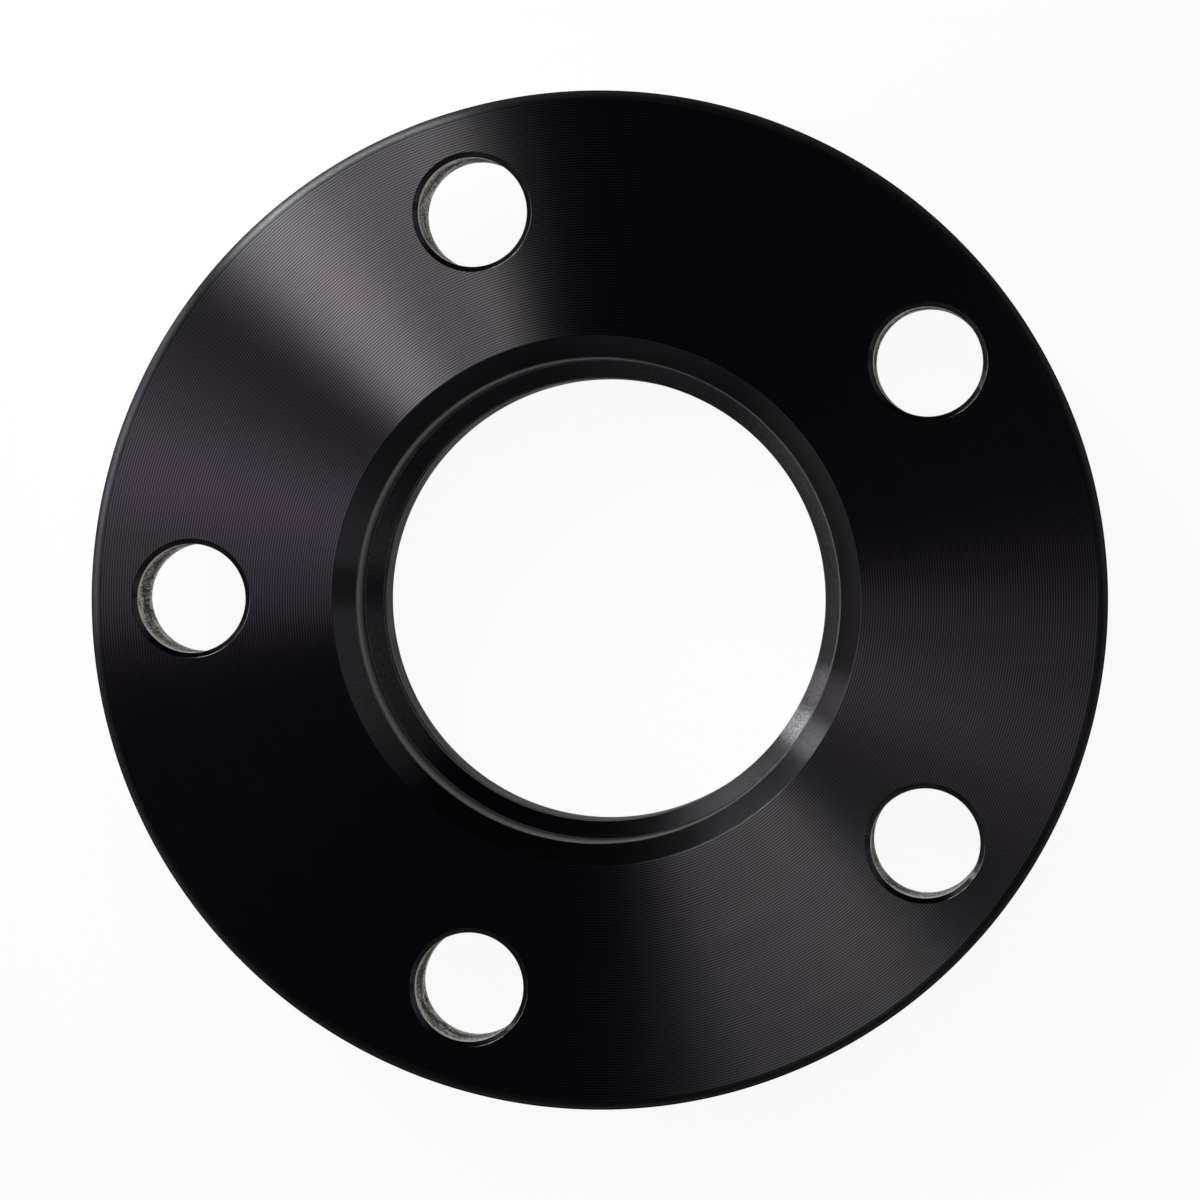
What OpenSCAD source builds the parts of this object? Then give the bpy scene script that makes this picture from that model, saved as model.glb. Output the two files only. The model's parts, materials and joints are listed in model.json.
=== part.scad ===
// Hub-centred wheel spacer, turned from one piece of aluminium.
// It lies on the end of its wheel-side lip, with the hub side facing up and the axis on Z.

/* [Bolt circle] */
// Number of bolt holes
bolt_count = 5; // [3:1:6]
// Pitch circle diameter of the bolt holes
bolt_pcd = 112; // [98:0.1:130]
// Diameter of a bolt hole, a clearance hole for an M14 wheel bolt
bolt_hole_d = 15; // [12:0.1:17]
// Chamfer at both mouths of a bolt hole
bolt_hole_chamfer = 0.7; // [0.3:0.1:1.5]
// Direction of the first bolt hole, counted from +X
first_hole_angle = 180; // [0:1:359]

/* [Flange] */
// Thickness that the spacer adds between hub and wheel
flange_t = 15; // [12:0.5:25]
// Wall left between the bolt holes and the rim
rim_wall = 6.5; // [4:0.1:15]
// Radius that rounds both edges of the rim
rim_round = 1.4; // [0.4:0.1:2.5]

/* [Hub recess] */
// Centre bore size that the hub and the wheel share
centre_d = 66.6; // [54:0.1:74.1]
// Chamfer round the mouth of the recess
mouth_chamfer = 3.1; // [0.5:0.1:5]
// Flange thickness left beyond the foot of the recess wall
web_t = 2.6; // [2:0.1:5]
// Corner radius at the foot of the recess wall
foot_fillet = 0.3; // [0.2:0.1:1.5]
// Slope of the cone between the recess and the bore, counted from the axis
cone_angle = 52; // [40:1:60]

/* [Wheel lip] */
// Height of the lip that centres the wheel
lip_h = 11; // [6:0.5:13]
// Wall thickness of the lip
lip_wall = 2.4; // [1.8:0.05:4]
// Radial clearance between the lip and the wheel's centre bore
lip_clearance = 0.05; // [0:0.01:0.2]
// Length of the tapered lead-in at the end of the lip
lead_in_l = 1.6; // [0.5:0.1:3]
// Angle of the lead-in, counted from the axis
lead_in_angle = 25; // [10:1:35]
// Corner radius between the lip and the wheel face
root_fillet = 0.6; // [0.2:0.1:1.5]
// Chamfer inside the end of the lip
lip_bore_chamfer = 0.5; // [0.2:0.1:0.8]

/* [Hidden] */
// Radii
rim_r = bolt_pcd / 2 + bolt_hole_d / 2 + rim_wall;
recess_r = centre_d / 2;
mouth_r = recess_r + mouth_chamfer;
lip_r = centre_d / 2 - lip_clearance;
bore_r = lip_r - lip_wall;
lip_end_r = lip_r - lead_in_l * tan(lead_in_angle);
// Heights, counted up from the end of the lip
wheel_face_z = lip_h;
hub_face_z = lip_h + flange_t;
recess_foot_z = wheel_face_z + web_t;
// A cone leads from the foot of the recess down to the bore
bore_top_z = recess_foot_z - (recess_r - bore_r) / tan(cone_angle);
// Distance from the corner to where the foot fillet meets the wall and the cone
foot_tangent = foot_fillet * tan(cone_angle / 2);
// Straight steps along a rounded corner
arc_steps = 6;
// How far a cutter runs past the face that it cuts
overrun = 0.5;
$fn = 128;

// Points round a corner of radius r about centre c, from angle a to angle b
function corner_arc(c, r, a, b) =
  [for (i = [0 : arc_steps]) let (t = a + (b - a) * i / arc_steps) c + r * [cos(t), sin(t)]];

// Half section through the turned body, radius along X and height along Y
module turned_section() {
  polygon(concat(
    [
      [bore_r, lip_bore_chamfer],
      [bore_r + lip_bore_chamfer, 0],
      [lip_end_r, 0],
      [lip_r, lead_in_l]
    ],
    corner_arc([lip_r + root_fillet, wheel_face_z - root_fillet], root_fillet, 180, 90),
    corner_arc([rim_r - rim_round, wheel_face_z + rim_round], rim_round, -90, 0),
    corner_arc([rim_r - rim_round, hub_face_z - rim_round], rim_round, 0, 90),
    [
      [mouth_r, hub_face_z],
      [recess_r, hub_face_z - mouth_chamfer]
    ],
    corner_arc([recess_r - foot_fillet, recess_foot_z + foot_tangent], foot_fillet, 0, -cone_angle),
    [[bore_r, bore_top_z]]
  ));
}

// Cutter for one bolt hole, with a chamfer at each face of the flange
module bolt_hole() {
  hole_r = bolt_hole_d / 2;
  flare_h = bolt_hole_chamfer + overrun;
  translate([0, 0, wheel_face_z - overrun])
    cylinder(h = flange_t + 2 * overrun, r = hole_r);
  translate([0, 0, hub_face_z - bolt_hole_chamfer])
    cylinder(h = flare_h, r1 = hole_r, r2 = hole_r + flare_h);
  translate([0, 0, wheel_face_z - overrun])
    cylinder(h = flare_h, r1 = hole_r + flare_h, r2 = hole_r);
}

module spacer() {
  color([0.05, 0.05, 0.055])
    difference() {
      rotate_extrude()
        turned_section();
      for (i = [0 : bolt_count - 1])
        rotate([0, 0, first_hole_angle + i * 360 / bolt_count])
          translate([bolt_pcd / 2, 0, 0])
            bolt_hole();
    }
}

spacer();
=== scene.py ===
import json
import math

import bmesh
import bpy
from mathutils import Euler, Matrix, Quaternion, Vector


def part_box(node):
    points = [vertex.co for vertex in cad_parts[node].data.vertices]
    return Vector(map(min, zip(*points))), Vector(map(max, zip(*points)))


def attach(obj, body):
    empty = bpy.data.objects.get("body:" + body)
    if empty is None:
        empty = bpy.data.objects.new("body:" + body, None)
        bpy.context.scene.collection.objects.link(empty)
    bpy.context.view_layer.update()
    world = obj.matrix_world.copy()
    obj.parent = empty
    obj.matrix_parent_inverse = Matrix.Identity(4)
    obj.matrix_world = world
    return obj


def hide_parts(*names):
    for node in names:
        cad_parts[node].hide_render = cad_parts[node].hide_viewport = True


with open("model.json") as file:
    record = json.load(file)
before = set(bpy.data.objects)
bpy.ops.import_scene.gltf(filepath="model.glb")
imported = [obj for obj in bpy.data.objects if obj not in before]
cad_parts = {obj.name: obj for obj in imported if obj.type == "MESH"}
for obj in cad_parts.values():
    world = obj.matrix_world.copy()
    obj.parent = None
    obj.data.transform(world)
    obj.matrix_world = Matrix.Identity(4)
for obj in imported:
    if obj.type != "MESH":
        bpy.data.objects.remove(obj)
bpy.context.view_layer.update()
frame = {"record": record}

mounts = {mount["name"]: mount for mount in frame["record"]["mounts"]}
mm = 0.001
fullTurn = 2 * math.pi
wholeSpan = (0.0, 1.0)
noiseSpan = (0.3, 0.7)  # most values of a noise lie in here
print("frame loaded")


# Node helpers: a socket is linked, a plain value is set
def feed(tree, socket, value):
    if isinstance(value, bpy.types.NodeSocket):
        tree.links.new(value, socket)
    else:
        socket.default_value = value


def addMath(tree, operation, first, second=0.0, third=0.0):
    node = tree.nodes.new("ShaderNodeMath")
    node.operation = operation
    for socket, value in zip(node.inputs, (first, second, third)):
        feed(tree, socket, value)
    return node.outputs[0]


def addRange(tree, value, fromMin, fromMax, toMin=0.0, toMax=1.0, smooth=False):
    node = tree.nodes.new("ShaderNodeMapRange")
    node.interpolation_type = "SMOOTHSTEP" if smooth else "LINEAR"
    labels = ("Value", "From Min", "From Max", "To Min", "To Max")
    for label, setting in zip(labels, (value, fromMin, fromMax, toMin, toMax)):
        feed(tree, node.inputs[label], setting)
    return node.outputs["Result"]


# A value that goes below and above its middle by a share of it, as a mask goes over its span
def addSwing(tree, mask, span, share, middle=1.0):
    return addRange(tree, mask, *span, middle * (1.0 - share), middle * (1.0 + share))


def addMix(tree, factor, first, second, blend="MIX"):
    node = tree.nodes.new("ShaderNodeMix")
    node.data_type = "RGBA"
    node.blend_type = blend
    for number, value in ((0, factor), (6, first), (7, second)):  # 6 and 7 are its colours
        feed(tree, node.inputs[number], value)
    return node.outputs[2]


def addNoise(tree, vector, scale, detail=2.0, roughness=0.5):
    node = tree.nodes.new("ShaderNodeTexNoise")
    labels = ("Vector", "Scale", "Detail", "Roughness")
    for label, value in zip(labels, (vector, scale, detail, roughness)):
        feed(tree, node.inputs[label], value)
    return node.outputs["Fac"]


def addVector(tree, x, y, z):
    node = tree.nodes.new("ShaderNodeCombineXYZ")
    for socket, value in zip(node.inputs, (x, y, z)):
        feed(tree, socket, value)
    return node.outputs[0]


def addPlace(tree, kind="Object"):
    return tree.nodes.new("ShaderNodeTexCoord").outputs[kind]


def splitPlace(tree, kind="Object"):
    node = tree.nodes.new("ShaderNodeSeparateXYZ")
    feed(tree, node.inputs[0], addPlace(tree, kind))
    return node.outputs


# Distance from the axis
def addRadius(tree, x, y):
    squares = addMath(tree, "ADD", addMath(tree, "MULTIPLY", x, x), addMath(tree, "MULTIPLY", y, y))
    return addMath(tree, "SQRT", squares)


def addBump(tree, shader, height, depth):
    node = tree.nodes.new("ShaderNodeBump")
    node.inputs["Distance"].default_value = depth
    feed(tree, node.inputs["Height"], height)
    feed(tree, shader.inputs["Normal"], node.outputs[0])


def newGroup(name, inputs, outputs):
    tree = bpy.data.node_groups.new(name, "ShaderNodeTree")
    for label, value in inputs.items():
        kind = "NodeSocketColor" if isinstance(value, tuple) else "NodeSocketFloat"
        socket = tree.interface.new_socket(label, in_out="INPUT", socket_type=kind)
        socket.default_value = value
    for label, kind in outputs.items():
        tree.interface.new_socket(label, in_out="OUTPUT", socket_type=kind)
    given = tree.nodes.new("NodeGroupInput").outputs
    result = tree.nodes.new("NodeGroupOutput").inputs
    return tree, given, result


def useGroup(tree, group, **values):
    node = tree.nodes.new("ShaderNodeGroup")
    node.node_tree = group
    for label, value in values.items():
        feed(tree, node.inputs[label], value)
    return node.outputs


def newMaterial(name):
    material = bpy.data.materials.new(name)
    material.use_nodes = True
    tree = material.node_tree
    shader = tree.nodes["Principled BSDF"]
    shader.inputs["Specular IOR Level"].default_value = 0.0  # gloss comes from the metallic share alone
    return material, tree, shader


def addObject(name, data):
    piece = bpy.data.objects.new(name, data)
    bpy.context.scene.collection.objects.link(piece)
    return piece


# Marks of the lathe tool: a fine spiral groove, long streaks along it and slow bands across it
latheTool = {
    "flankSkew": -0.08,  # one flank of the groove is steeper
    "streakDetail": 3.0,
    "streakRoughness": 0.6,
    "bandWidth": 2.2 * mm,
    "grainSize": 0.3 * mm,
    "grainDetail": 1.0,
}


def buildToolMarks():
    tree, given, result = newGroup(
        "toolMarks",
        {"Pitch": 0.3 * mm, "AxisShare": 0.0, "StreakWidth": 0.3 * mm, "StreakTurn": 4.0},
        {label: "NodeSocketFloat" for label in ("Groove", "Streak", "Band", "Grain")},
    )
    x, y, z = splitPlace(tree)
    radius = addRadius(tree, x, y)
    along = addMath(tree, "MULTIPLY_ADD", z, given["AxisShare"], radius)  # runs across the grooves
    turn = addMath(tree, "DIVIDE", addMath(tree, "ARCTAN2", y, x), fullTurn)
    phase = addMath(tree, "ADD", addMath(tree, "DIVIDE", along, given["Pitch"]), turn)
    angle = addMath(tree, "MULTIPLY", phase, fullTurn)
    skew = addMath(tree, "SINE", addMath(tree, "MULTIPLY", angle, 2.0))
    wave = addMath(tree, "MULTIPLY_ADD", skew, latheTool["flankSkew"], addMath(tree, "SINE", angle))
    feed(tree, result["Groove"], addRange(tree, wave, -1.0, 1.0))
    unitX = addMath(tree, "DIVIDE", x, radius)
    unitY = addMath(tree, "DIVIDE", y, radius)
    streakPlace = addVector(
        tree,
        addMath(tree, "DIVIDE", along, given["StreakWidth"]),
        addMath(tree, "MULTIPLY", unitX, given["StreakTurn"]),
        addMath(tree, "MULTIPLY", unitY, given["StreakTurn"]),
    )
    streak = addNoise(tree, streakPlace, 1.0, latheTool["streakDetail"], latheTool["streakRoughness"])
    feed(tree, result["Streak"], streak)
    bandPlace = addVector(tree, addMath(tree, "DIVIDE", along, latheTool["bandWidth"]), unitX, unitY)
    feed(tree, result["Band"], addNoise(tree, bandPlace, 1.0))
    grain = addNoise(tree, addPlace(tree), 1.0 / latheTool["grainSize"], latheTool["grainDetail"])
    feed(tree, result["Grain"], grain)
    return tree


# Anodised colour: drifts between two tints over the part
anodise = {"driftScale": 22.0, "driftSpan": (0.35, 0.65)}


def buildAnodiseTint():
    tree, given, result = newGroup(
        "anodiseTint",
        {
            "Base": (0.05, 0.05, 0.05, 1.0),
            "WarmTint": (1.1, 1.0, 0.95, 1.0),
            "CoolTint": (1.0, 0.97, 1.1, 1.0),
            "Shade": 1.0,
        },
        {"Color": "NodeSocketColor"},
    )
    drift = addRange(tree, addNoise(tree, addPlace(tree), anodise["driftScale"]), *anodise["driftSpan"])
    tint = addMix(tree, drift, given["WarmTint"], given["CoolTint"])
    tinted = addMix(tree, 1.0, given["Base"], tint, "MULTIPLY")
    shade = addVector(tree, given["Shade"], given["Shade"], given["Shade"])
    feed(tree, result["Color"], addMix(tree, 1.0, tinted, shade, "MULTIPLY"))
    return tree


# Settled dust: a few cells of a fine grid hold one small speck each
def buildDustSpecks():
    tree, given, result = newGroup(
        "dustSpecks", {"Spacing": 3.0 * mm, "Share": 0.1, "Size": 0.06}, {"Dust": "NodeSocketFloat"}
    )
    cells = tree.nodes.new("ShaderNodeTexVoronoi")
    feed(tree, cells.inputs["Vector"], addPlace(tree))
    feed(tree, cells.inputs["Scale"], addMath(tree, "DIVIDE", 1.0, given["Spacing"]))
    pick = tree.nodes.new("ShaderNodeSeparateColor")
    feed(tree, pick.inputs[0], cells.outputs["Color"])
    chosen = addMath(tree, "LESS_THAN", pick.outputs[0], given["Share"])
    size = addMath(tree, "MULTIPLY", given["Size"], pick.outputs[1])
    near = addMath(tree, "LESS_THAN", cells.outputs["Distance"], size)
    feed(tree, result["Dust"], addMath(tree, "MULTIPLY", chosen, near))
    return tree


# Mask that goes from 0 to 1 between two heights
def buildHeightFade():
    tree, given, result = newGroup(
        "heightFade", {"Start": 0.0, "End": 1.0 * mm}, {"Mask": "NodeSocketFloat"}
    )
    height = splitPlace(tree)[2]
    feed(tree, result["Mask"], addRange(tree, height, given["Start"], given["End"]))
    return tree


toolMarks = buildToolMarks()
anodiseTint = buildAnodiseTint()
dustSpecks = buildDustSpecks()
heightFade = buildHeightFade()
print("shared node groups built")


# What most finishes of the anodised part share: gloss, marks and dust
turnedMarks = {
    "metallic": (1.0, 1.0),  # in worn streaks and beside them
    "wearSpan": (0.35, 0.65),
    "glossTurn": 0.25,  # the gloss spreads across the grooves
    "grooveDepth": 0.0006 * mm,
    "grooveShade": 0.08,
    "grooveGloss": 0.03,
    "bandDepth": (0.85, 1.0),
    "bandGloss": 0.03,
    "streakTurn": 3.0,
    "axisShare": 1.7,
    "grain": 0.12,
    "dustSpacing": 2.5 * mm,
    "dustShare": 0.004,
    "dustSize": 0.1,
    "dustColor": (0.3, 0.29, 0.28, 1.0),
}
satinTurned = {
    **turnedMarks,
    "base": (0.071, 0.069, 0.071, 1.0),
    "warm": (1.05, 0.99, 0.98, 1.0),
    "cool": (0.98, 0.99, 1.05, 1.0),
    "edgeTint": (0.3, 0.3, 0.31, 1.0),
    "roughness": 0.16,
    "anisotropy": 0.3,
    "pitch": 0.12 * mm,
    "grooveDepth": 0.0003 * mm,
    "grooveShade": 0.05,
    "streakShade": 0.1,
    "streakWidth": 0.15 * mm,
    "grain": 0.3,
}
finishes = {
    "turnedFace": {
        **turnedMarks,
        "base": (0.075, 0.0717, 0.076, 1.0),
        "warm": (1.06, 0.95, 1.07, 1.0),
        "cool": (1.02, 0.98, 0.98, 1.0),
        "edgeTint": (0.6, 0.6, 0.6, 1.0),
        "roughness": 0.32,
        "anisotropy": 1.0,
        "pitch": 0.36 * mm,
        "grooveDepth": 0.004 * mm,
        # painted groove shade in the base colour, strongest on the hub face
        "grooveShade": 0.55,
        "grooveGloss": 0.08,
        "streakShade": 0.04,
        "streakWidth": 0.25 * mm,
        "axisShare": 0.0,
        "grain": 0.03,
    },
    "satinTurned": satinTurned,
    "mouthBevel": {**satinTurned, "roughness": 0.17, "anisotropy": 0.6, "grain": 0.2},
    "rimEdge": {
        **turnedMarks,
        "base": (0.042, 0.043, 0.044, 1.0),
        "warm": (1.05, 0.98, 1.04, 1.0),
        "cool": (0.98, 1.0, 1.03, 1.0),
        "edgeTint": (0.16, 0.16, 0.165, 1.0),
        "roughness": 0.32,
        "anisotropy": 1.0,
        "metallic": (0.9, 1.0),
        "pitch": 0.12 * mm,
        "streakShade": 0.15,
        "streakWidth": 0.2 * mm,
    },
    "recessWall": {
        **turnedMarks,
        "base": (0.03, 0.029, 0.031, 1.0),
        "warm": (1.04, 0.97, 1.05, 1.0),
        "cool": (1.0, 1.0, 1.02, 1.0),
        "edgeTint": (1.0, 0.98, 1.0, 1.0),
        "roughness": 0.3,
        "anisotropy": 0.5,
        "metallic": (0.54, 0.62),
        "glossHeights": (14.2 * mm, 15.0 * mm),  # painted shade: dark and not metallic at the first, glossy from the second on
        "pitch": 0.15 * mm,
        "streakShade": 0.15,
        "streakWidth": 1.2 * mm,
    },
    "paleEdge": {
        **turnedMarks,
        "base": (0.1, 0.098, 0.097, 1.0),
        "warm": (1.04, 1.0, 0.96, 1.0),
        "cool": (1.0, 1.0, 1.02, 1.0),
        "edgeTint": (0.5, 0.5, 0.5, 1.0),
        "roughness": 0.35,
        "anisotropy": 0.3,
        "metallic": (0.3, 0.6),
        "pitch": 0.15 * mm,
        "streakShade": 0.3,
        "streakWidth": 0.5 * mm,
        "streakTurn": 6.0,
    },
    "boredWall": {
        **turnedMarks,
        "base": (0.06, 0.0588, 0.0564, 1.0),
        "warm": (1.04, 1.0, 0.96, 1.0),
        "cool": (1.0, 1.0, 1.0, 1.0),
        "edgeTint": (0.34, 0.328, 0.316, 1.0),
        "roughness": 0.36,
        "anisotropy": 0.4,
        "metallic": (0.3, 0.95),
        # painted shade: dark and not metallic above the first height, next to the cone
        "glossHeights": (9.5 * mm, 9.1 * mm),
        "pitch": 0.2 * mm,
        "grooveDepth": 0.002 * mm,
        "grooveShade": 0.2,
        "streakShade": 0.4,
        "streakWidth": 1.6 * mm,
        "axisShare": 1.0,
        "grain": 0.2,
    },
}


def turnedMaterial(name):
    look = finishes[name]
    material, tree, shader = newMaterial(name)
    marks = useGroup(
        tree,
        toolMarks,
        Pitch=look["pitch"],
        AxisShare=look["axisShare"],
        StreakWidth=look["streakWidth"],
        StreakTurn=look["streakTurn"],
    )
    # Painted groove shade: the base colour is darker in the groove valleys and paler on the crests
    grooveShade = addSwing(tree, marks["Groove"], wholeSpan, look["grooveShade"])
    streakShade = addSwing(tree, marks["Streak"], noiseSpan, look["streakShade"])
    grainShade = addSwing(tree, marks["Grain"], noiseSpan, look["grain"])
    shade = addMath(tree, "MULTIPLY", addMath(tree, "MULTIPLY", grooveShade, streakShade), grainShade)
    tint = useGroup(
        tree, anodiseTint, Base=look["base"], WarmTint=look["warm"], CoolTint=look["cool"], Shade=shade
    )
    specks = useGroup(
        tree, dustSpecks, Spacing=look["dustSpacing"], Share=look["dustShare"], Size=look["dustSize"]
    )
    dusty = addMix(tree, specks["Dust"], tint["Color"], look["dustColor"])
    feed(tree, shader.inputs["Base Color"], dusty)
    bandGloss = addSwing(tree, marks["Band"], noiseSpan, look["bandGloss"], look["roughness"])
    grooveGloss = addSwing(tree, marks["Groove"], wholeSpan, look["grooveGloss"])
    feed(tree, shader.inputs["Roughness"], addMath(tree, "MULTIPLY", bandGloss, grooveGloss))
    worn, kept = look["metallic"]
    metallic = kept if worn == kept else addRange(tree, marks["Streak"], *look["wearSpan"], worn, kept)
    if "glossHeights" in look:  # painted shade: the wall is dark and not metallic near the cone
        paintedShadeZ, glossy = look["glossHeights"]
        fade = useGroup(tree, heightFade, Start=paintedShadeZ, End=glossy)
        metallic = addMath(tree, "MULTIPLY", metallic, fade["Mask"])
    feed(tree, shader.inputs["Metallic"], metallic)
    shader.inputs["Specular Tint"].default_value = look["edgeTint"]
    shader.inputs["Anisotropic"].default_value = look["anisotropy"]
    shader.inputs["Anisotropic Rotation"].default_value = look["glossTurn"]
    tangent = tree.nodes.new("ShaderNodeTangent")
    tangent.direction_type = "RADIAL"
    tangent.axis = "Z"
    feed(tree, shader.inputs["Tangent"], tangent.outputs[0])
    depth = addRange(tree, marks["Band"], *noiseSpan, *look["bandDepth"])
    addBump(tree, shader, addMath(tree, "MULTIPLY", marks["Groove"], depth), look["grooveDepth"])
    return material


# Walls of the bolt holes: anodised metal, rubbed bare in specks and rings; painted light makes them paler
# at both ends and palest close below the hub face, and painted shade makes them darker in the middle
drilled = {
    "pale": (0.5, 0.48, 0.445, 1.0),
    "dark": (0.1, 0.092, 0.082, 1.0),
    "edgeTint": (0.66, 0.65, 0.62, 1.0),
    "metallic": (0.08, 0.75),
    "roughness": (0.32, 0.52),
    "speck": (0.22 * mm, 1.7 * mm),  # size across the hole and along it
    "speckDetail": 2.0,
    "speckDepth": 0.03 * mm,
    "ring": (3.0 * mm, 3.5 * mm),
    "ringDetail": 1.0,
    "ringShare": 0.6,
    "noiseRoughness": 0.6,
    "endRub": 0.09,  # painted light and shade: paler at both ends than in the middle
    "brinkRub": 0.15,  # and painted light, palest of all, close below the hub face
    "brinkDepths": (2.8 * mm, 1.4 * mm),
    "bareSpan": (0.68, 0.97),
}


def drilledMaterial():
    material, tree, shader = newMaterial("drilledWall")
    x, y, z = splitPlace(tree)
    hubZ, wheelZ = spacer["hubFaceZ"], spacer["wheelFaceZ"]

    # Noise whose grains have one size across the hole and another along it
    def wallNoise(size, detail):
        lengths = (size[0], size[0], size[1])
        place = [addMath(tree, "DIVIDE", part, length) for part, length in zip((x, y, z), lengths)]
        return addNoise(tree, addVector(tree, *place), 1.0, detail, drilled["noiseRoughness"])

    specks = wallNoise(drilled["speck"], drilled["speckDetail"])
    rings = wallNoise(drilled["ring"], drilled["ringDetail"])
    # Painted light and shade by height: paler at both ends and close below the hub face, darker in the
    # middle
    ends = addMath(tree, "COSINE", addRange(tree, z, wheelZ, hubZ, 0.0, fullTurn))
    wornAndLit = addMath(tree, "MULTIPLY_ADD", ends, drilled["endRub"], specks)
    wornAndLit = addMath(tree, "MULTIPLY_ADD", rings, drilled["ringShare"], wornAndLit)
    brinkFoot, brinkTop = [hubZ - depth for depth in drilled["brinkDepths"]]
    wornAndLit = addMath(tree, "ADD", wornAndLit, addRange(tree, z, brinkFoot, brinkTop, 0.0, drilled["brinkRub"]))
    bareAndLit = addRange(tree, wornAndLit, *drilled["bareSpan"])
    feed(tree, shader.inputs["Base Color"], addMix(tree, bareAndLit, drilled["dark"], drilled["pale"]))
    feed(tree, shader.inputs["Metallic"], addRange(tree, bareAndLit, *wholeSpan, *drilled["metallic"]))
    feed(tree, shader.inputs["Roughness"], addRange(tree, specks, *noiseSpan, *drilled["roughness"]))
    shader.inputs["Specular Tint"].default_value = drilled["edgeTint"]
    addBump(tree, shader, specks, drilled["speckDepth"])
    return material


finishOrder = [
    "turnedFace", "rimEdge", "satinTurned", "mouthBevel",
    "recessWall", "paleEdge", "boredWall", "drilledWall",
]
print("finishes listed")


# The spacer: lathe profile and bolt holes, with every edge broken by a small radius
spacer = {
    "rimR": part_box("spacer")[1][0],
    "hubFaceZ": mounts["hub_face"]["pos_m"][2],
    "wheelFaceZ": mounts["wheel_face"]["pos_m"][2],
    "recessR": mounts["hub_recess"]["dims"]["r_mm"] * mm,
    "boreR": mounts["through_bore"]["dims"]["r_mm"] * mm,
    "lipR": mounts["wheel_lip"]["dims"]["r_mm"] * mm,
    "holeR": mounts["bolt_circle"]["dims"]["hole_r_mm"] * mm,
    "holeCircleR": mounts["bolt_circle"]["dims"]["pcd_mm"] / 2 * mm,
    "holeCount": mounts["bolt_circle"]["dims"]["count"],
    "firstHoleAngle": math.radians(180),
    "rimRound": 1.4 * mm,
    "mouthChamfer": 3.1 * mm,
    "mouthRound": 0.05 * mm,
    "recessEdgeRound": 0.7 * mm,
    "webThickness": 2.6 * mm,
    "footFillet": 0.3 * mm,
    "coneAngle": math.radians(52),
    "boreEdgeRound": 0.2 * mm,
    "lipBoreChamfer": 0.5 * mm,
    "leadInLength": 1.6 * mm,
    "leadInAngle": math.radians(25),
    "lipRound": 0.15 * mm,
    "rootFillet": 0.6 * mm,
    "holeChamfer": 0.7 * mm,
    "holeRound": 0.12 * mm,
    "latheSteps": 360,
    "holeSteps": 96,
    "arcSteps": 8,
}
hubMiddle = Vector((0, 0, spacer["hubFaceZ"]))


# Rows of (radius, height, normal, finish) along a profile whose corners are rounded.
# A corner gives radius, height, rounding, finish of the rounding and finish beyond it.
# The metal is on the left of the path; the first and last corner only give a direction.
def roundedProfile(corners):
    rows = []
    for before, corner, after in zip(corners, corners[1:], corners[2:]):
        point = Vector(corner[:2])
        rounding, arcFinish, nextFinish = corner[2:]
        into = (point - Vector(before[:2])).normalized()
        out = (Vector(after[:2]) - point).normalized()
        bend = math.atan2(into.x * out.y - into.y * out.x, into.dot(out))
        reach = rounding * math.tan(abs(bend) / 2)
        start = math.atan2(-into.x, into.y)  # direction of the outward normal
        side = math.copysign(1.0, bend)
        centre = point - into * reach - Vector((math.cos(start), math.sin(start))) * rounding * side
        for step in range(spacer["arcSteps"] + 1):
            share = step / spacer["arcSteps"]
            angle = start + bend * share
            normal = Vector((math.cos(angle), math.sin(angle)))
            finish = arcFinish if share < 1.0 else nextFinish
            rows.append((*(centre + normal * rounding * side), normal, finish))
    return rows


def spinProfile(mesh, normals, rows, centre, steps):
    rings = []
    for radius, height, normal, _ in rows:
        ring = []
        for step in range(steps):
            angle = fullTurn * step / steps
            cosine, sine = math.cos(angle), math.sin(angle)
            ring.append(mesh.verts.new((centre[0] + radius * cosine, centre[1] + radius * sine, height)))
            normals.append((normal.x * cosine, normal.x * sine, normal.y))
        rings.append(ring)
    for upper, lower, row in zip(rings, rings[1:], rows):
        for step in range(steps):
            nextStep = (step + 1) % steps
            facet = mesh.faces.new((upper[step], upper[nextStep], lower[nextStep], lower[step]))
            facet.material_index = finishOrder.index(row[3])
    return rings


def fillFlat(mesh, loops, up):
    edges = [mesh.edges.get((loop[step - 1], loop[step])) for loop in loops for step in range(len(loop))]
    filled = bmesh.ops.triangle_fill(mesh, edges=edges, normal=(0, 0, up))["geom"]
    for facet in filled:
        if isinstance(facet, bmesh.types.BMFace):
            facet.material_index = finishOrder.index("turnedFace")
            facet.normal_update()
            if facet.normal.z * up < 0:
                facet.normal_flip()


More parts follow.
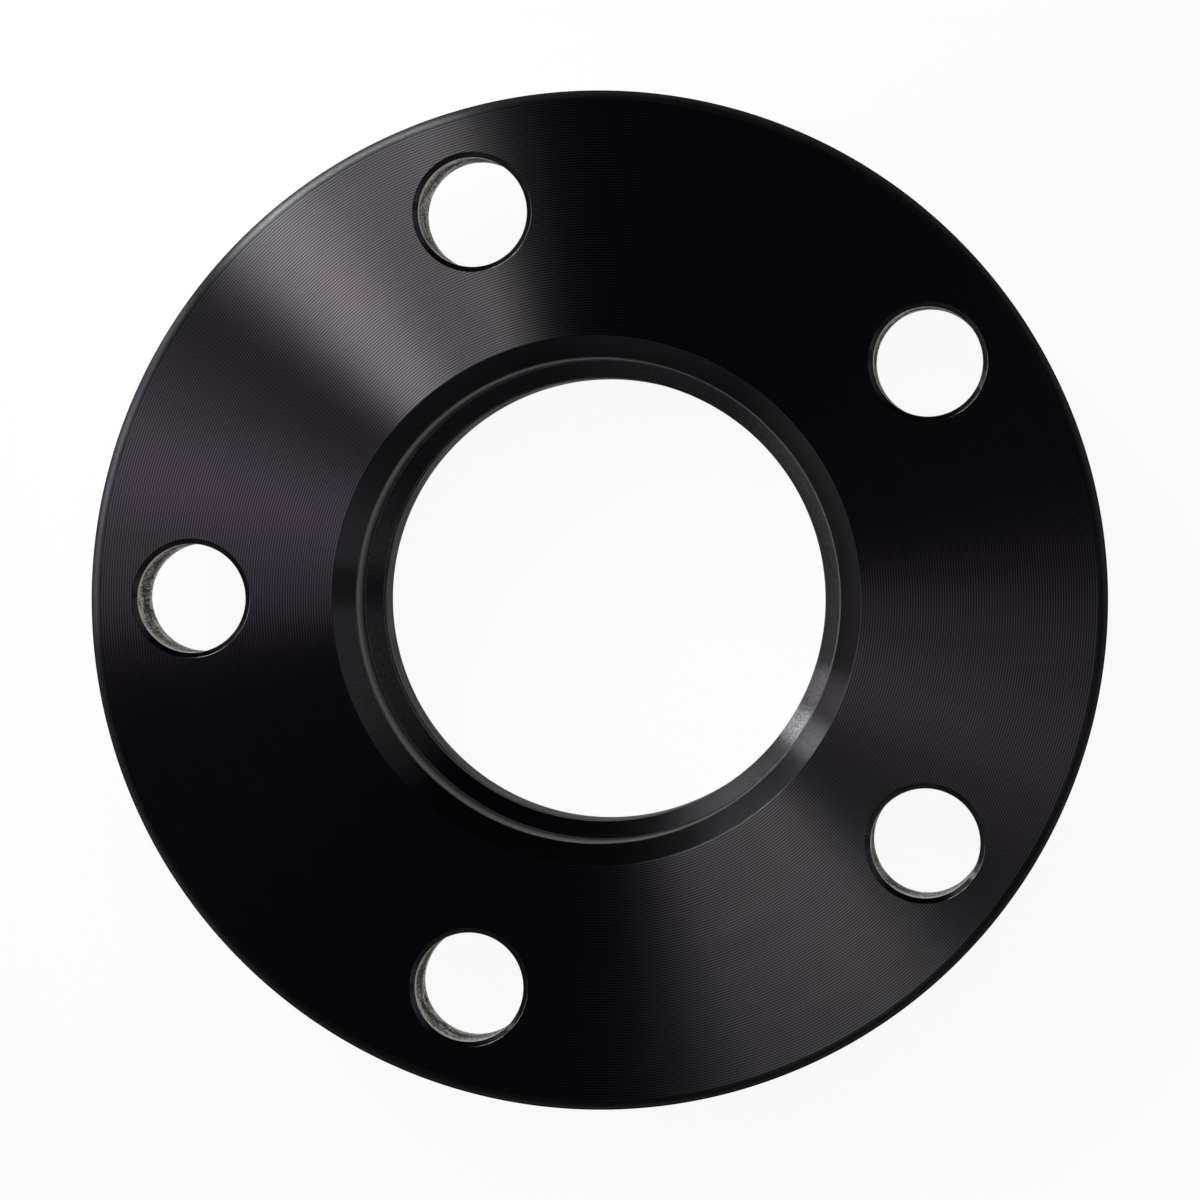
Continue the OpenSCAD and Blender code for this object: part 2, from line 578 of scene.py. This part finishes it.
def buildSpacer():
    s = spacer
    face, rim, satin, bevel, recess, pale, bored, hole = finishOrder
    mid = (s["recessR"] + s["rimR"]) / 2
    hubZ, wheelZ = s["hubFaceZ"], s["wheelFaceZ"]
    footZ = wheelZ + s["webThickness"]
    boreTopZ = footZ - (s["recessR"] - s["boreR"]) / math.tan(s["coneAngle"])
    lipEndR = s["lipR"] - s["leadInLength"] * math.tan(s["leadInAngle"])
    inner = roundedProfile([
        (mid, hubZ),
        (s["recessR"] + s["mouthChamfer"], hubZ, s["mouthRound"], bevel, bevel),
        (s["recessR"], hubZ - s["mouthChamfer"], s["recessEdgeRound"], pale, recess),
        (s["recessR"], footZ, s["footFillet"], satin, satin),
        (s["boreR"], boreTopZ, s["boreEdgeRound"], pale, bored),
        (s["boreR"], s["lipBoreChamfer"], s["lipRound"], satin, satin),
        (s["boreR"] + s["lipBoreChamfer"], 0.0, s["lipRound"], satin, satin),
        (lipEndR, 0.0, s["lipRound"], satin, satin),
        (s["lipR"], s["leadInLength"], s["lipRound"], satin, satin),
        (s["lipR"], wheelZ, s["rootFillet"], satin, face),
        (mid, wheelZ),
    ])
    outer = roundedProfile([
        (mid, wheelZ),
        (s["rimR"], wheelZ, s["rimRound"], rim, rim),
        (s["rimR"], hubZ, s["rimRound"], rim, face),
        (mid, hubZ),
    ])
    wideR = s["holeR"] + 2 * s["holeChamfer"]
    drill = roundedProfile([
        (wideR, hubZ),
        (s["holeR"] + s["holeChamfer"], hubZ, s["holeRound"], satin, satin),
        (s["holeR"], hubZ - s["holeChamfer"], s["holeRound"], hole, hole),
        (s["holeR"], wheelZ + s["holeChamfer"], s["holeRound"], hole, satin),
        (s["holeR"] + s["holeChamfer"], wheelZ, s["holeRound"], satin, face),
        (wideR, wheelZ),
    ])
    mesh = bmesh.new()
    normals = []
    innerRings = spinProfile(mesh, normals, inner, (0.0, 0.0), s["latheSteps"])
    outerRings = spinProfile(mesh, normals, outer, (0.0, 0.0), s["latheSteps"])
    top = [innerRings[0], outerRings[-1]]
    bottom = [innerRings[-1], outerRings[0]]
    for number in range(s["holeCount"]):
        angle = s["firstHoleAngle"] + fullTurn * number / s["holeCount"]
        centre = (s["holeCircleR"] * math.cos(angle), s["holeCircleR"] * math.sin(angle))
        rings = spinProfile(mesh, normals, drill, centre, s["holeSteps"])
        top.append(rings[0])
        bottom.append(rings[-1])
    fillFlat(mesh, top, 1)
    fillFlat(mesh, bottom, -1)
    for facet in mesh.faces:
        facet.smooth = True
    data = bpy.data.meshes.new("spacerBody")
    mesh.to_mesh(data)
    mesh.free()
    data.normals_split_custom_set_from_vertices(normals)
    for name in finishOrder:
        data.materials.append(turnedMaterial(name) if name in finishes else drilledMaterial())
    piece = addObject("spacerBody", data)
    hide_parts("spacer")
    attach(piece, "root")
    print("spacer built,", len(data.polygons), "faces")


buildSpacer()


# Floor: white to the camera and in reflections, but it still takes the part's soft shadow
floor = {
    "half": 6.0,
    "color": (0.85, 0.85, 0.85, 1.0),
    "grainColor": (0.8, 0.8, 0.8, 1.0),
    "grainScale": 60.0,
    "grainDetail": 3.0,
    "grainShare": 0.02,
    "roughness": 0.9,
    "whiteShare": 0.93,
}


def buildFloor():
    data = bpy.data.meshes.new("floor")
    half = floor["half"]
    corners = [(-half, -half, 0), (half, -half, 0), (half, half, 0), (-half, half, 0)]
    data.from_pydata(corners, [], [(0, 1, 2, 3)])
    piece = addObject("floor", data)
    material, tree, shader = newMaterial("paleFloor")
    grain = addNoise(tree, addPlace(tree), floor["grainScale"], floor["grainDetail"])
    spotted = addRange(tree, grain, *noiseSpan, 0.0, floor["grainShare"])
    feed(tree, shader.inputs["Base Color"], addMix(tree, spotted, floor["color"], floor["grainColor"]))
    shader.inputs["Roughness"].default_value = floor["roughness"]
    white = tree.nodes.new("ShaderNodeEmission")
    path = tree.nodes.new("ShaderNodeLightPath").outputs
    mirrored = addMath(tree, "MAXIMUM", path["Is Glossy Ray"], path["Is Transmission Ray"])
    seen = addMath(tree, "MAXIMUM", path["Is Camera Ray"], mirrored)
    blend = tree.nodes.new("ShaderNodeMixShader")
    feed(tree, blend.inputs[0], addMath(tree, "MULTIPLY", seen, floor["whiteShare"]))
    tree.links.new(shader.outputs[0], blend.inputs[1])
    tree.links.new(white.outputs[0], blend.inputs[2])
    tree.links.new(blend.outputs[0], tree.nodes["Material Output"].inputs["Surface"])
    material.cycles.emission_sampling = "NONE"  # it shows white but is no lamp
    data.materials.append(material)
    print("floor laid")


buildFloor()


# Lamps stand round the middle of the hub face: azimuth from +X and elevation from the face,
# with the width and height that they seem to have from there, all in degrees.
# A beam narrows the light to so many degrees, aimed so many mm from the middle towards the lamp.
sideTint = (1.0, 0.9, 1.02)
lamps = {
    "keyBox": {
        "azimuth": 127, "elevation": 33, "distance": 0.5, "spread": (22, 20), "radiance": 16.0,
        "roll": -2,
    },
    "keyEdge": {
        "azimuth": 113.5, "elevation": 38, "distance": 0.32, "spread": (5, 18), "radiance": 15.5,
        "beam": 32, "aim": 53,
    },
    "keyCore": {
        "azimuth": 136, "elevation": 40, "distance": 0.32, "spread": (7.5, 18), "radiance": 26.0,
        "beam": 32, "aim": 53,
    },
    "sideBox": {
        "azimuth": 169.5, "elevation": 31, "distance": 0.6, "spread": (25, 21), "radiance": 5.4,
        "color": sideTint,
    },
    "sideCore": {
        "azimuth": 166, "elevation": 33, "distance": 0.6, "spread": (10, 18), "radiance": 4.2,
        "color": sideTint,
    },
    "edgeStrip": {
        "azimuth": 151, "elevation": 11, "distance": 0.6, "spread": (7.5, 19), "radiance": 7.4,
        "color": (1.0, 1.0, 0.99),
    },
    "sideStrip": {
        "azimuth": 161, "elevation": 11, "distance": 0.6, "spread": (8, 19), "radiance": 2.5,
        "color": (1.0, 0.96, 1.0),
    },
    "fillBox": {
        "azimuth": 90, "elevation": 62, "distance": 1.5, "spread": (40, 40), "radiance": 1.8,
        "gloss": False,
    },
}


def buildLamps():
    for name, lamp in lamps.items():
        data = bpy.data.lights.new(name, "AREA")
        data.shape = "RECTANGLE"
        reach = 2 * lamp["distance"]
        data.size, data.size_y = [reach * math.tan(math.radians(angle / 2)) for angle in lamp["spread"]]
        data.spread = math.radians(lamp.get("beam", 180))
        # A narrow beam is brighter along its axis, so it needs less energy
        focus = 1.0 - data.spread / 2 / math.tan(data.spread / 2)
        data.energy = lamp["radiance"] * math.pi * data.size * data.size_y * focus
        data.color = lamp.get("color", (1.0, 1.0, 1.0))
        azimuth, elevation = math.radians(lamp["azimuth"]), math.radians(lamp["elevation"])
        across = Vector((math.cos(azimuth), math.sin(azimuth), 0))
        place = (across * math.cos(elevation) + Vector((0, 0, math.sin(elevation)))) * lamp["distance"]
        aim = across * lamp.get("aim", 0.0) * mm
        roll = Quaternion((0, 0, 1), math.radians(lamp.get("roll", 0)))
        box = addObject(name, data)
        box.location = place + hubMiddle
        box.rotation_euler = ((aim - place).to_track_quat("-Z", "Y") @ roll).to_euler()
        box.visible_camera = False
        box.visible_glossy = lamp.get("gloss", True)
    print("lamps placed")


# Round the studio: dark, lighter overhead, with soft glow near the horizon
surroundings = {
    "low": (0.012, 0.012, 0.02, 1.0),
    "high": (0.022, 0.022, 0.039, 1.0),
    "skySpan": (0.2, 0.9),
    "glow": (1.0, 1.0, 1.05, 1.0),
    "parts": [  # azimuth, half width and strength of each part of the glow
        (194, 40, 0.55),
        (225, 55, 0.2),
        (8, 46, 0.24),
        (356, 7, -0.2),
        (136, 20, 0.75),
        (310, 70, 0.07),
    ],
    "fade": (14, 32),  # elevations between which the glow ends
    "backdrop": (1.0, 1.0, 1.0, 1.0),
}


def buildSurroundings():
    world = bpy.data.worlds.new("studio")
    world.use_nodes = True
    tree = world.node_tree
    x, y, z = splitPlace(tree, "Generated")
    level = addRadius(tree, x, y)
    light = 0.0
    for azimuth, halfWidth, strength in surroundings["parts"]:
        turn = math.radians(azimuth)
        towards = addMath(tree, "MULTIPLY", x, math.cos(turn))
        towards = addMath(tree, "MULTIPLY_ADD", y, math.sin(turn), towards)
        facing = addMath(tree, "DIVIDE", towards, level)
        near = addRange(tree, facing, math.cos(math.radians(halfWidth)), 1.0, smooth=True)
        light = addMath(tree, "MULTIPLY_ADD", near, strength, light)
    low, high = [math.sin(math.radians(angle)) for angle in surroundings["fade"]]
    light = addMath(tree, "MULTIPLY", light, addRange(tree, z, low, high, 1.0, 0.0, smooth=True))
    height = addRange(tree, z, *surroundings["skySpan"])
    sky = addMix(tree, height, surroundings["low"], surroundings["high"])
    lit = addMix(tree, light, sky, surroundings["glow"])
    # Past the floor's edge the backdrop is white, and the metal mirrors it below the horizon
    path = tree.nodes.new("ShaderNodeLightPath").outputs
    mirrored = addMath(tree, "MULTIPLY", path["Is Glossy Ray"], addMath(tree, "LESS_THAN", z, 0.0))
    direct = addMath(tree, "MAXIMUM", path["Is Camera Ray"], path["Is Transmission Ray"])
    seen = addMath(tree, "MAXIMUM", direct, mirrored)
    shown = addMix(tree, seen, lit, surroundings["backdrop"])
    feed(tree, tree.nodes["Background"].inputs["Color"], shown)
    bpy.context.scene.world = world
    print("surroundings set")


buildLamps()
buildSurroundings()


# Camera: almost square to the hub face, leaning a little to the side as in the photograph
view = {
    "lens": 193.84,
    "sensor": 36.0,
    "nearClip": 0.01,
    "distance": 0.8858,
    "lean": (-0.77, 4.661, 0.271),
    "aside": (0.588 * mm, 0.1 * mm),
}


def buildCamera():
    data = bpy.data.cameras.new("camera")
    data.lens = view["lens"]
    data.sensor_width = view["sensor"]
    data.clip_start = view["nearClip"]
    camera = addObject("camera", data)
    turn = Euler([math.radians(angle) for angle in view["lean"]])
    camera.rotation_euler = turn
    camera.location = turn.to_matrix() @ Vector((*view["aside"], view["distance"])) + hubMiddle
    bpy.context.scene.camera = camera
    bpy.context.scene.view_settings.view_transform = "Standard"
    print("camera set")


buildCamera()
